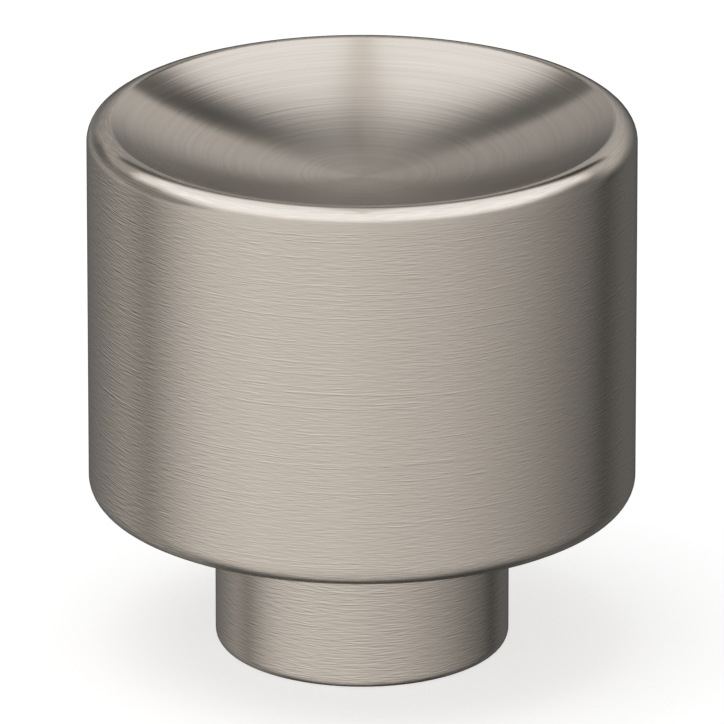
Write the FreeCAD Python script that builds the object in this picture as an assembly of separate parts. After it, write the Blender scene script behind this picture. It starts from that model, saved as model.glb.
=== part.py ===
import FreeCAD, Part

import math
import os

# A cabinet knob, cast and turned as one piece: a drum-shaped head with a dished top,
# a short neck, and a flat foot with a blind tapped hole for the fixing screw.
# Millimetres. +Z is the knob's axis, up from the foot to the head.
# The origin is the centre of the foot's face, which lies against the cabinet front.

# Head and neck
head_diameter = 32.0
head_height = 23.1
neck_diameter = 17.2
neck_height = 9.1

# Rounds of the outside
lip_round = 1.25
head_bottom_round = 1.3
neck_corner_round = 0.4
foot_round = 0.7

# The dish in the top, inside a narrow lip that is round on both sides of its crest
dish_depth = 3.5
dish_edge_round = 0.57

# The tapped hole in the foot, for a number 8 screw with 32 threads to the inch.
# It is cut to the thread's outer diameter as far as the thread goes, then to the drill's.
thread_diameter = 4.17
thread_height = 0.36
thread_depth = 12.0
drill_run_out = 2.0
drill_point_angle = 118.0
hole_mouth_chamfer = 0.4

# Worked out from the sizes above
head_radius = head_diameter / 2
neck_radius = neck_diameter / 2
thread_radius = thread_diameter / 2
drill_radius = thread_radius - thread_height
drill_depth = thread_depth + drill_run_out
drill_point_height = drill_radius / math.tan(math.radians(drill_point_angle / 2))
knob_height = neck_height + head_height


class Section:
    """Half of the knob's section in the XZ plane, drawn as one outline from point to point."""

    def __init__(self, x, z):
        self.start = FreeCAD.Vector(x, 0, z)
        self.end = self.start
        self.edges = []

    def line(self, x, z):
        target = FreeCAD.Vector(x, 0, z)
        self.edges.append(Part.LineSegment(self.end, target).toShape())
        self.end = target

    def arc(self, centre_x, centre_z, x, z):
        """The shorter arc about a centre, on to a point as far from it as the last one."""
        centre = FreeCAD.Vector(centre_x, 0, centre_z)
        target = FreeCAD.Vector(x, 0, z)
        radius = (self.end - centre).Length
        towards_middle = (self.end - centre) + (target - centre)
        middle = centre + towards_middle.normalize() * radius
        self.edges.append(Part.Arc(self.end, middle, target).toShape())
        self.end = target

    def turned(self):
        """Closes the outline along the axis and turns it once round."""
        self.line(self.start.x, self.start.z)
        face = Part.Face(Part.Wire(self.edges))
        return face.revolve(FreeCAD.Vector(0, 0, 0), FreeCAD.Vector(0, 0, 1), 360)


def draw_tapped_hole(section):
    """From the drill's point down its wall and the tapped wall to the chamfered mouth."""
    section.line(drill_radius, drill_depth)
    section.line(drill_radius, thread_depth)
    section.line(thread_radius, thread_depth)
    section.line(thread_radius, hole_mouth_chamfer)
    section.line(thread_radius + hole_mouth_chamfer, 0)


def draw_foot_and_neck(section):
    """Across the foot's face, round its edge and up the neck into the head's underside."""
    corner_x = neck_radius + neck_corner_round
    corner_z = neck_height - neck_corner_round
    section.line(neck_radius - foot_round, 0)
    section.arc(neck_radius - foot_round, foot_round, neck_radius, foot_round)
    section.line(neck_radius, corner_z)
    section.arc(corner_x, corner_z, corner_x, neck_height)


def draw_head_side(section):
    """Out under the head, up its side and over the lip's round to its crest."""
    bottom_x = head_radius - head_bottom_round
    bottom_z = neck_height + head_bottom_round
    lip_x = head_radius - lip_round
    lip_z = knob_height - lip_round
    section.line(bottom_x, neck_height)
    section.arc(bottom_x, bottom_z, head_radius, bottom_z)
    section.line(head_radius, lip_z)
    section.arc(lip_x, lip_z, lip_x, knob_height)


def draw_dish(section):
    """From the lip's crest over the dish's edge and down its hollow to the axis."""
    # The hollow is part of a sphere that the edge's round touches from outside.
    crest_x = head_radius - lip_round
    reach = (crest_x**2 + dish_depth**2) / (2 * dish_depth)
    sphere_radius = reach - dish_edge_round
    sphere_z = knob_height - dish_depth + sphere_radius
    round_z = knob_height - dish_edge_round

    share = sphere_radius / reach
    hollow_x = crest_x * share
    hollow_z = sphere_z + (round_z - sphere_z) * share
    section.arc(crest_x, round_z, hollow_x, hollow_z)
    section.arc(0, sphere_z, 0, knob_height - dish_depth)


def make_knob():
    section = Section(0, drill_depth + drill_point_height)
    draw_tapped_hole(section)
    draw_foot_and_neck(section)
    draw_head_side(section)
    draw_dish(section)
    return section.turned()


knob = make_knob()
os.makedirs("parts", exist_ok=True)
knob.exportStep("parts/knob.step")
box = knob.optimalBoundingBox()
print("knob: valid", knob.isValid(), "solids", len(knob.Solids), "volume %.1f mm3" % knob.Volume)
print("box %.3f x %.3f x %.3f mm, lowest z %.3f" % (box.XLength, box.YLength, box.ZLength, box.ZMin))
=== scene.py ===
# %% [markdown]
# The knob is one turned and plated metal part: a short neck, a drum-shaped head, a rounded lip and
# a shallow dish. Its shape comes ready from the CAD model, so Blender's work is the brushed satin
# nickel, the screw thread inside the foot, and a small studio, because a metal part mostly shows
# what stands round it. Everything is in metres and stands where the CAD model has it.

# %% Load the frame
import math

import bmesh
import bpy
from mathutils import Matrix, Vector


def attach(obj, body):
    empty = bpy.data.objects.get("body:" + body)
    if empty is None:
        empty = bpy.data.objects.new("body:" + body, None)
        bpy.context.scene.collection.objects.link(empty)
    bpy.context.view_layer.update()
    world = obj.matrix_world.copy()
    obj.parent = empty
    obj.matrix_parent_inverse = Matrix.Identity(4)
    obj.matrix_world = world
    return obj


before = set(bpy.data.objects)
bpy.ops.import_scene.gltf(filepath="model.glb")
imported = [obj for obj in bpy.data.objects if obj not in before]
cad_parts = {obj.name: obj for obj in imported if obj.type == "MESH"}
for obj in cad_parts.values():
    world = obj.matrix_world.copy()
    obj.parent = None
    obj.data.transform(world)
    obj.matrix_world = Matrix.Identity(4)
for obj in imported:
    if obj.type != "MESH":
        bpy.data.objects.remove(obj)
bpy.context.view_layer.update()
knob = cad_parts["knob"]
MM = 0.001

# %% [markdown]
# The camera stands well back and looks down on the knob at about 21 degrees, so the drum's sides
# stay nearly parallel and the dish shows as a flat oval. A long lens on a full-size sensor gives
# that, and the aim is the point of the axis that sits in the middle of the picture.

# %% The camera
aim = Vector((-0.005 * MM, 0, 17.196 * MM))
camera_distance = 0.85
camera_pitch = math.radians(20.482)

camera_data = bpy.data.cameras.new("camera")
camera_data.sensor_width = 36
camera_data.lens = 724.4
camera_data.clip_start = 0.02
camera_data.clip_end = 20
camera = bpy.data.objects.new("camera", camera_data)
towards_camera = Vector((0, -math.cos(camera_pitch), math.sin(camera_pitch)))
camera.location = aim + camera_distance * towards_camera
camera.rotation_euler = (math.pi / 2 - camera_pitch, 0, 0)
bpy.context.scene.collection.objects.link(camera)
bpy.context.scene.camera = camera
bpy.context.scene.view_settings.view_transform = "Standard"
print("camera at", [round(v, 4) for v in camera.location])

# %% [markdown]
# Shader maths reads best as Python expressions. The class below wraps one socket of a node tree,
# and a plus, minus, times or divide sign between two of them adds the Math node that does it.
# Every other node comes from its one method, node(): the type, the settings, then the inputs.

# %% A wrapper for sockets


class Wire:
    """One socket of a node tree, or the bare tree where socket is None."""

    def __init__(self, tree, socket=None):
        self.tree = tree
        self.socket = socket

    def node(self, kind, settings=None, inputs=None, out=0):
        """Adds a node, sets it, feeds it, and returns one of its outputs."""
        made = self.tree.nodes.new("ShaderNode" + kind)
        for name, value in (settings or {}).items():
            if name == "stops":
                fill_ramp(made.color_ramp, value)
            else:
                setattr(made, name, value)
        for name, value in (inputs or {}).items():
            if isinstance(value, Wire):
                self.tree.links.new(value.socket, made.inputs[name])
            else:
                made.inputs[name].default_value = value
        return Wire(self.tree, made.outputs[out] if len(made.outputs) else None)

    def math(self, operation, *values):
        return self.node("Math", {"operation": operation}, dict(enumerate((self, *values))))

    def flipped(self, operation, other):
        return self.node("Math", {"operation": operation}, {0: other, 1: self})

    def __add__(self, other):
        return self.math("ADD", other)

    def __radd__(self, other):
        return self.flipped("ADD", other)

    def __sub__(self, other):
        return self.math("SUBTRACT", other)

    def __rsub__(self, other):
        return self.flipped("SUBTRACT", other)

    def __mul__(self, other):
        return self.math("MULTIPLY", other)

    def __rmul__(self, other):
        return self.flipped("MULTIPLY", other)

    def __truediv__(self, other):
        return self.math("DIVIDE", other)

    def __rtruediv__(self, other):
        return self.flipped("DIVIDE", other)

    def parts(self):
        """The three parts of a place: across, depth and height."""
        split = self.node("SeparateXYZ", inputs={0: self}).socket.node
        return [Wire(self.tree, part) for part in split.outputs]

    def blended(self, other, share):
        """This value where share is 0, the other where it is 1."""
        return self * (1 - share) + share * other

    def ramp(self, low, high):
        """0 below low, 1 above high, and a smooth rise between."""
        return self.node("MapRange", {"interpolation_type": "SMOOTHSTEP"},
                         {"Value": self, "From Min": low, "From Max": high})


def fill_ramp(ramp, stops):
    """Gives a colour ramp its stops, each a place from 0 to 1 and a colour."""
    while len(ramp.elements) > 1:
        ramp.elements.remove(ramp.elements[-1])
    for i, (place, colour) in enumerate(stops):
        stop = ramp.elements[0] if i == 0 else ramp.elements.new(place)
        stop.position = place
        stop.color = (*colour, 1)


def new_material(name):
    """An empty material, and the wrapper for its node tree."""
    made = bpy.data.materials.new(name)
    made.use_nodes = True
    made.node_tree.nodes.clear()
    return made, Wire(made.node_tree)


def new_object(name, bm, material):
    """Turns a bmesh into an object that sits at the origin."""
    mesh = bpy.data.meshes.new(name)
    bm.to_mesh(mesh)
    bm.free()
    made = bpy.data.objects.new(name, mesh)
    made.data.materials.append(material)
    bpy.context.scene.collection.objects.link(made)
    return made


print("socket wrapper ready")

# %% [markdown]
# The knob stands on plain white board in a white room. Both show white to the eye: a ray that is
# seen, mirrored or comes through something meets full white, and every other ray meets a softer
# level, so that the room lights the board evenly and the knob's soft shadow stays on it. From below
# the board is see-through, so that the foot can be looked at.

# %% White to the eye


def plain_view(tree):
    """1 on a ray that is seen, mirrored or passed through, and 0 on one that brings light."""
    seen = tree.node("LightPath", out="Is Camera Ray")
    mirrored = tree.node("LightPath", out="Is Glossy Ray")
    through = tree.node("LightPath", out="Is Transmission Ray")
    return seen + mirrored + through


print("white view ready")

# %% The floor
floor_glow = 0.58
floor_board, tree = new_material("floor_board")
board = tree.node("BsdfDiffuse", inputs={"Color": (0.8, 0.8, 0.8, 1)})
glow = tree.node("Emission", inputs={"Color": (1, 1, 1, 1), "Strength": floor_glow * plain_view(tree)})
lit = tree.node("AddShader", inputs={0: board, 1: glow})
clear = tree.node("BsdfTransparent")
underneath = tree.node("NewGeometry", out="Backfacing")
floor_surface = tree.node("MixShader", inputs={"Fac": underneath, 1: lit, 2: clear})
tree.node("OutputMaterial", inputs={"Surface": floor_surface})

bm = bmesh.new()
bmesh.ops.create_circle(bm, cap_ends=True, segments=96, radius=4)
floor = new_object("floor", bm, floor_board)
floor.visible_glossy = False
print("floor made,", [round(v, 2) for v in floor.dimensions], "m")

# %% The room
soft_level = 0.45
world = bpy.data.worlds.new("white_room")
bpy.context.scene.world = world
world.use_nodes = True
world.node_tree.nodes.clear()
world.cycles.sampling_method = "NONE"
tree = Wire(world.node_tree)
room_level = plain_view(tree) * (1 - soft_level) + soft_level
room = tree.node("Background", inputs={"Color": (1, 1, 1, 1), "Strength": room_level})
tree.node("OutputWorld", inputs={"Surface": room})
print("room is white to the eye and lights at", soft_level)

# %% [markdown]
# A lamp above and a little to the left gives the shadow its side. It is a wide disc, so the shadow
# has no edge. The metal doesn't mirror it, since the tent below has its own top light.

# %% The lamp
lamp_data = bpy.data.lights.new("soft_lamp", "AREA")
lamp_data.shape = "DISK"
lamp_data.size = 1.0
lamp_data.energy = 3.0
lamp = bpy.data.objects.new("soft_lamp", lamp_data)
lamp.location = (-0.25, -0.1, 1.2)
lamp.rotation_euler = lamp.location.to_track_quat("Z", "Y").to_euler()
lamp.visible_camera = False
lamp.visible_glossy = False
bpy.context.scene.collection.objects.link(lamp)
print("lamp radiance", round(lamp_data.energy / (math.pi * math.pi / 4), 2))

# %% [markdown]
# Polished metal has hardly a colour of its own: it shows the room. So a small knob is photographed
# inside a tent of white paper with a few dark gaps, and those make its light and dark bands. Here
# the tent is a big sphere that only mirrored rays can see. Its paper is painted by direction: first
# how far round a point lies from the camera, then how high, then how high it looks from the front.

# %% The tent's paper: where a point of it lies
tent_paper, tree = new_material("tent_paper")
place = tree.node("TexCoord", out="Object")
reach = place.node("VectorMath", {"operation": "LENGTH"}, {0: place}, out="Value")
across, depth, height = (part / reach for part in place.parts())
azimuth = across.math("ARCTAN2", -1 * depth) * math.degrees(1)
elevation = height.math("ARCSINE") * math.degrees(1)
rise_behind = height.math("ARCTAN2", depth.math("MAXIMUM", 0.02)) * math.degrees(1)
turn = azimuth.math("ABSOLUTE")
on_right = azimuth.math("GREATER_THAN", 0)
on_left = 1 - on_right
print("azimuth 0 towards the camera, 90 to the right, elevation up, all in degrees")

# %% [markdown]
# The side of the tent is brightest at the left front and falls off to the right, which gives the
# drum its broad soft light and its shaded right edge. It ends in near black straight behind, and
# that draws the thin dark line down both outlines. Low down behind, the paper is dark too: the
# rounds under the head and round the foot mirror it. A faint light line runs along the left side,
# a little below eye level, and edges the lip there.

# %% The tent's side
side_tones = (
    (-180, 0.02), (-173, 0.03), (-166, 0.19), (-154, 0.27), (-140, 0.32), (-118, 0.42), (-101, 0.31),
    (-90, 0.5), (-80, 0.66), (-66, 0.8), (-45, 0.87), (-10, 0.84), (35, 0.67), (65, 0.48), (92, 0.29),
    (108, 0.2), (122, 0.09), (142, 0.19), (158, 0.19), (168, 0.11), (173, 0.02), (180, 0.0))
side_stops = [(angle / 360 + 0.5, (tone, tone, tone)) for angle, tone in side_tones]
side = tree.node("ValToRGB", {"stops": side_stops}, {"Fac": azimuth / 360 + 0.5})
below = elevation.ramp(-76, -24) * 0.2 + 0.8
low_behind = turn.ramp(70, 110) * (1 - elevation.ramp(-62, -50))
side = side * below * (1 - low_behind * 0.85)

to_left = -1 * azimuth
light_line = to_left.ramp(80, 110) * (elevation.ramp(-13, -8) - elevation.ramp(-3, 2))
side = side + light_line * 0.14
print("side has", len(side_tones), "tones")

# %% [markdown]
# Behind the knob stands a grey card, which the near half of the dish mirrors. Its foot hangs lower
# at both sides than straight behind, so the lip's sides stay grey almost to their outline. A dark
# gap over the left side light slopes down towards the back, and draws a line along the lip's bright
# band.

# %% The card behind and the left gap
behind = turn.ramp(107, 134)
straight_back = on_right * turn.ramp(160, 176) + on_left * turn.ramp(168, 178)
card = on_right * 0.12 + 0.36
card = card * (1 + rise_behind.ramp(5, 28) * 0.42) * (1 - straight_back * rise_behind.ramp(21, 31) * 0.2)
card_foot = turn.ramp(171, 179) * 14 - 11
paper_tone = side.blended(card, behind * rise_behind.ramp(card_foot, 21))

gap_low = 18 - to_left.ramp(66, 90) * 14
gap_high = 24 - to_left.ramp(110, 140) * 5
gap_height = elevation.ramp(gap_low - 4, gap_low + 3) * (1 - elevation.ramp(gap_high - 3, gap_high + 4))
left_gap = to_left.ramp(60, 80) * (1 - to_left.ramp(146, 158)) * gap_height
paper_tone = paper_tone.blended(0.29 - to_left.ramp(125, 142) * 0.1, left_gap)
print("card and left gap painted")

# %% [markdown]
# Above the card is a dark gap and then the big top light. A dish mirrors a level gap as two dark
# streaks that spread from its centre, and the top light as the bright fan between them. The fan's
# soft middle line is a seam in the top light.

# %% The back gap and the top light
gap_reach = turn.ramp(143, 155)
gap_tone = on_left * 0.1 + turn.ramp(166, 176) * 0.12
gap_rise = 31 + on_right * 0.8
paper_tone = paper_tone.blended(gap_tone, gap_reach * rise_behind.ramp(gap_rise, gap_rise + 4))

lift = 1 - turn.ramp(10, 85)
light_behind = rise_behind.ramp(42 + on_right * 1.2, 53 + straight_back * 3)
light_in_front = elevation.ramp(24 + lift * 14, 46 + lift * 8)
overhead = light_in_front.blended(light_behind, behind)
seam = across.math("ABSOLUTE").math("ARCTAN2", depth.math("MAXIMUM", 0.001)) * math.degrees(1)
top_light = 1.41
top_tone = (top_light - behind * 0.17) * (0.75 + seam.ramp(2.4, 9) * 0.25)
paper_tone = paper_tone.blended(top_tone, overhead)
print("top light at", top_light)

# %% [markdown]
# Bright paper is a little cooler than grey paper, because the top light is daylight. A ramp over the
# tone gives the tint, and the two together are the paper's glow.

# %% The tent
brightest = 1.4
tint = tree.node("ValToRGB", {"stops": [
    (0.07, (1, 1.05, 1.06)), (0.2, (1, 1, 1)), (0.65, (1, 1, 1)), (0.95, (0.985, 1.03, 1.1))]},
    {"Fac": paper_tone / brightest})
paper_colour = tree.node("VectorMath", {"operation": "SCALE"}, {0: tint, "Scale": paper_tone})
paper = tree.node("Emission", inputs={"Color": paper_colour, "Strength": 1.0})
tree.node("OutputMaterial", inputs={"Surface": paper})
tent_paper.cycles.emission_sampling = "NONE"

bm = bmesh.new()
bmesh.ops.create_uvsphere(bm, u_segments=96, v_segments=48, radius=1.5)
tent = new_object("tent", bm, tent_paper)
for flag in ("camera", "diffuse", "transmission", "volume_scatter", "shadow"):
    setattr(tent, "visible_" + flag, False)
print("tent made, seen by mirrored rays only")

# %% [markdown]
# Satin nickel is plating over a surface that was brushed while it turned, so the scratches run
# round the axis everywhere: round the wall, and in rings in the dish and on the foot. They are far
# longer than they are wide. Noise does that when the place it is read at is shrunk along the
# scratch, and the fourth dimension of the noise takes the distance from the axis, so that no two
# rings are alike.

# %% Scratches round the axis
nickel_colour = (0.62, 0.556, 0.484)
dull_colour = (0.5, 0.462, 0.415)


def from_axis(place):
    """How far a place is from the knob's axis."""
    across, depth, _ = place.parts()
    return (across * across + depth * depth).math("SQRT")


def scratches(place, pitch, length, detail=0.0, lift=0.0):
    """Noise drawn out round the axis: pitch across the scratches, length along them."""
    across, depth, height = place.parts()
    stretched = place.node("CombineXYZ", inputs={
        0: across / length, 1: depth / length, 2: (height + lift) / pitch})
    return place.node("TexNoise", {"noise_dimensions": "4D"}, {
        "Vector": stretched, "W": from_axis(place) / pitch, "Scale": 1.0, "Detail": detail})


def coloured(place, colour, shade):
    """A colour made lighter or darker by a shade near 1."""
    return place.node("VectorMath", {"operation": "SCALE"}, {0: colour, "Scale": shade})


def unbrushed(place):
    """The duller plating inside the hole, over the marks that the drill and the tap left."""
    marks = scratches(place, 0.12 * MM, 6 * MM, detail=1.0)
    return coloured(place, dull_colour, 0.75 + marks * 0.5)


print("nickel colour", nickel_colour)

# %% [markdown]
# A hairline on the wall has a lit side and a dark side, one above the other, and here both are painted
# into the colour: a painted highlight over a painted shade. So the same noise is read twice, the second
# time a hair higher, and the two are taken from each other. Very fine short scratches and a few long
# ones add up. The neck, which the brush reaches less well, is cut deeper, with fewer long scratches.
# On the left side of the drum the painted highlights and shade of the hairlines are made stronger too.
# The lip is polished, and its grain is faint.

# %% The wall's hairlines
nickel, tree = new_material("brushed_satin_nickel")
place = tree.node("TexCoord", out="Object")
height = place.parts()[2]
radius = from_axis(place)
hair = 0.062 * MM
short_cut = (0.05 * MM, 0.9 * MM)
long_cut = (0.08 * MM, 11 * MM)

# Each hairline pair is a painted highlight over a painted shade, taken into the base colour.
short_hairs_lit_and_shaded = scratches(place, *short_cut) - scratches(place, *short_cut, lift=hair)
long_noise = (scratches(place, *long_cut), scratches(place, *long_cut, lift=hair))
long_hairs_lit_and_shaded = long_noise[0].ramp(0.67, 0.75) - long_noise[1].ramp(0.67, 0.75)
on_neck = 1 - height.ramp(8.6 * MM, 9.4 * MM)
# On the left side of the drum the hairlines' painted highlights and shade are made stronger.
left_contrast_side = 1 - place.parts()[0].ramp(-14.4 * MM, -7 * MM)
near_top = height.ramp(30.7 * MM, 31.2 * MM)
hairline_contrast = (0.92 + 0.35 * on_neck + 1.4 * left_contrast_side) * (1 - 0.65 * near_top)
wall_grain_and_painted_light = (short_hairs_lit_and_shaded * 0.56 + long_hairs_lit_and_shaded * (0.19 - 0.08 * on_neck)) * hairline_contrast
print("hair", round(hair / MM, 3), "mm")

# %% [markdown]
# The dish was finished with a steady tool, so its rings are wider, softer and almost whole turns.
# They are also real grooves: a bump a few thousandths of a millimetre deep tilts the surface, and
# that frays the edges of the two dark streaks.

# %% The dish's rings
dish_edge, dish_floor = 14.6 * MM, 27 * MM
mouth_radius, hole_end = 2.49 * MM, 15.5 * MM
in_dish = radius.math("LESS_THAN", dish_edge) * height.math("GREATER_THAN", dish_floor)
in_hole = radius.math("LESS_THAN", mouth_radius) * height.math("LESS_THAN", hole_end)
ring_noise = scratches(place, 0.16 * MM, 9 * MM, detail=1.0)
dish_grain = (ring_noise - 0.5) * 0.2
dish_fade = (1 - radius.ramp(13.9 * MM, 14.4 * MM)) * height.ramp(26 * MM, 27 * MM)
print("rings made")

# %% [markdown]
# The lip is so narrow that the flat facets of its mesh would break up what it mirrors. Its true
# shape is known, though: seen in section it is two rounds over one ring, a wide one outside and a
# tight one inside. So its normal is worked out from the place alone, as the way from the centre of
# the round to that place. Everywhere else the mesh's own smooth normal is used.

# %% The lip's true normal
lip_ring = 14.75 * MM
inner_edge = 14.494 * MM
outer_centre, inner_centre = 30.95 * MM, 31.63 * MM
across, depth, height = place.parts()
on_rounds = radius.math("GREATER_THAN", inner_edge) * height.math("GREATER_THAN", outer_centre)
outside = radius.math("GREATER_THAN", lip_ring)
round_centre = inner_centre - outside * (inner_centre - outer_centre)
lean = (radius - lip_ring) / radius
from_centre = tree.node("CombineXYZ", inputs={
    0: across * lean, 1: depth * lean, 2: height - round_centre})
lip_normal = tree.node("VectorTransform", {
    "vector_type": "NORMAL", "convert_from": "OBJECT", "convert_to": "WORLD"}, {0: from_centre})
mesh_normal = tree.node("NewGeometry", out="Normal")
# A Mix node has its two vectors at inputs 4 and 5, and its two colours at 6 and 7.
smooth = tree.node("Mix", {"data_type": "VECTOR"}, {0: on_rounds, 4: mesh_normal, 5: lip_normal}, out=1)
grooves = tree.node("Bump", inputs={
    "Strength": 1.0, "Distance": 0.006 * MM, "Height": ring_noise * dish_fade, "Normal": smooth})
print("lip's rounds over a ring of", lip_ring / MM, "mm")

# %% [markdown]
# Brushed metal blurs what it mirrors across the scratches and hardly along them, and the shader's
# Anisotropic value does just that; its Rotation turns the blur to lie across the rings. The lip is
# polished best, the hole's inside least. The grey Specular Tint keeps the metal from turning to a
# full mirror at the outlines, as fine scratches do.

# %% Satin nickel
# The neck's colour is made 6 percent darker than the rest: painted shade under the head.
shade = 1 + wall_grain_and_painted_light.blended(dish_grain, in_dish) - 0.06 * on_neck
plated = coloured(place, nickel_colour, shade)
skin = tree.node("Mix", {"data_type": "RGBA"}, {0: in_hole, 6: plated, 7: unbrushed(place)}, out=2)
on_lip = radius.ramp(14.7 * MM, 14.8 * MM) * near_top
roughness = 0.2 - on_lip * 0.07 - in_dish * 0.03 + in_hole * 0.15
surface = tree.node("BsdfPrincipled", inputs={
    "Base Color": skin, "Metallic": 1.0, "Roughness": roughness, "Normal": grooves,
    "Specular Tint": (0.7, 0.7, 0.7, 1), "Anisotropic": 1.0, "Anisotropic Rotation": 0.25})
tree.node("OutputMaterial", inputs={"Surface": surface})
knob.material_slots[0].material = nickel
print(nickel.name, "on", knob.name)

# %% [markdown]
# The foot's hole is tapped for a number 8 screw with 32 turns to the inch. The CAD model has the
# hole at the thread's outer diameter, so the ridge is added here: one flat-topped section, spun up
# round the axis in small steps. At both ends it sinks into the wall over half a turn, as a tap
# leaves it.

# %% The screw thread's ridge
thread_pitch = 25.4 / 32 * MM
hole_radius = 2.085 * MM
ridge_radius = 1.725 * MM
thread_low, thread_high = 0.4 * MM, 12.0 * MM
root_width, top_width = thread_pitch * 0.775, thread_pitch / 4
sunk = 0.02 * MM
steps_a_turn = 48
steps = round((thread_high - thread_low - root_width) / thread_pitch * steps_a_turn)
first_middle = thread_low + root_width / 2

bm = bmesh.new()
section = [bm.verts.new((r, 0, first_middle + z)) for r, z in (
    (hole_radius + sunk, -root_width / 2), (ridge_radius, -top_width / 2),
    (ridge_radius, top_width / 2), (hole_radius + sunk, root_width / 2))]
bmesh.ops.spin(bm, geom=[bm.faces.new(section)], cent=(0, 0, 0), axis=(0, 0, 1),
               dvec=(0, 0, thread_pitch / steps_a_turn), steps=steps, use_merge=False,
               angle=2 * math.pi * steps / steps_a_turn)
print("ridge of", round(steps / steps_a_turn, 1), "turns")

# %% The ridge's two ends
for v in bm.verts:
    distance = math.hypot(v.co.x, v.co.y)
    if distance < hole_radius:
        turns_in = (v.co.z - first_middle) / thread_pitch
        turns_left = steps / steps_a_turn - turns_in
        full = min(1, max(0, 2 * min(turns_in, turns_left)))
        wanted_radius = hole_radius + (ridge_radius - hole_radius) * full
        v.co.xy *= wanted_radius / distance
bmesh.ops.recalc_face_normals(bm, faces=bm.faces)

dull_nickel, tree = new_material("unbrushed_nickel")
place = tree.node("TexCoord", out="Object")
surface = tree.node("BsdfPrincipled", inputs={
    "Base Color": unbrushed(place), "Metallic": 1.0, "Roughness": 0.35})
tree.node("OutputMaterial", inputs={"Surface": surface})
thread = new_object("screw_thread", bm, dull_nickel)
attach(thread, "root")
print("thread has", len(thread.data.polygons), "faces")
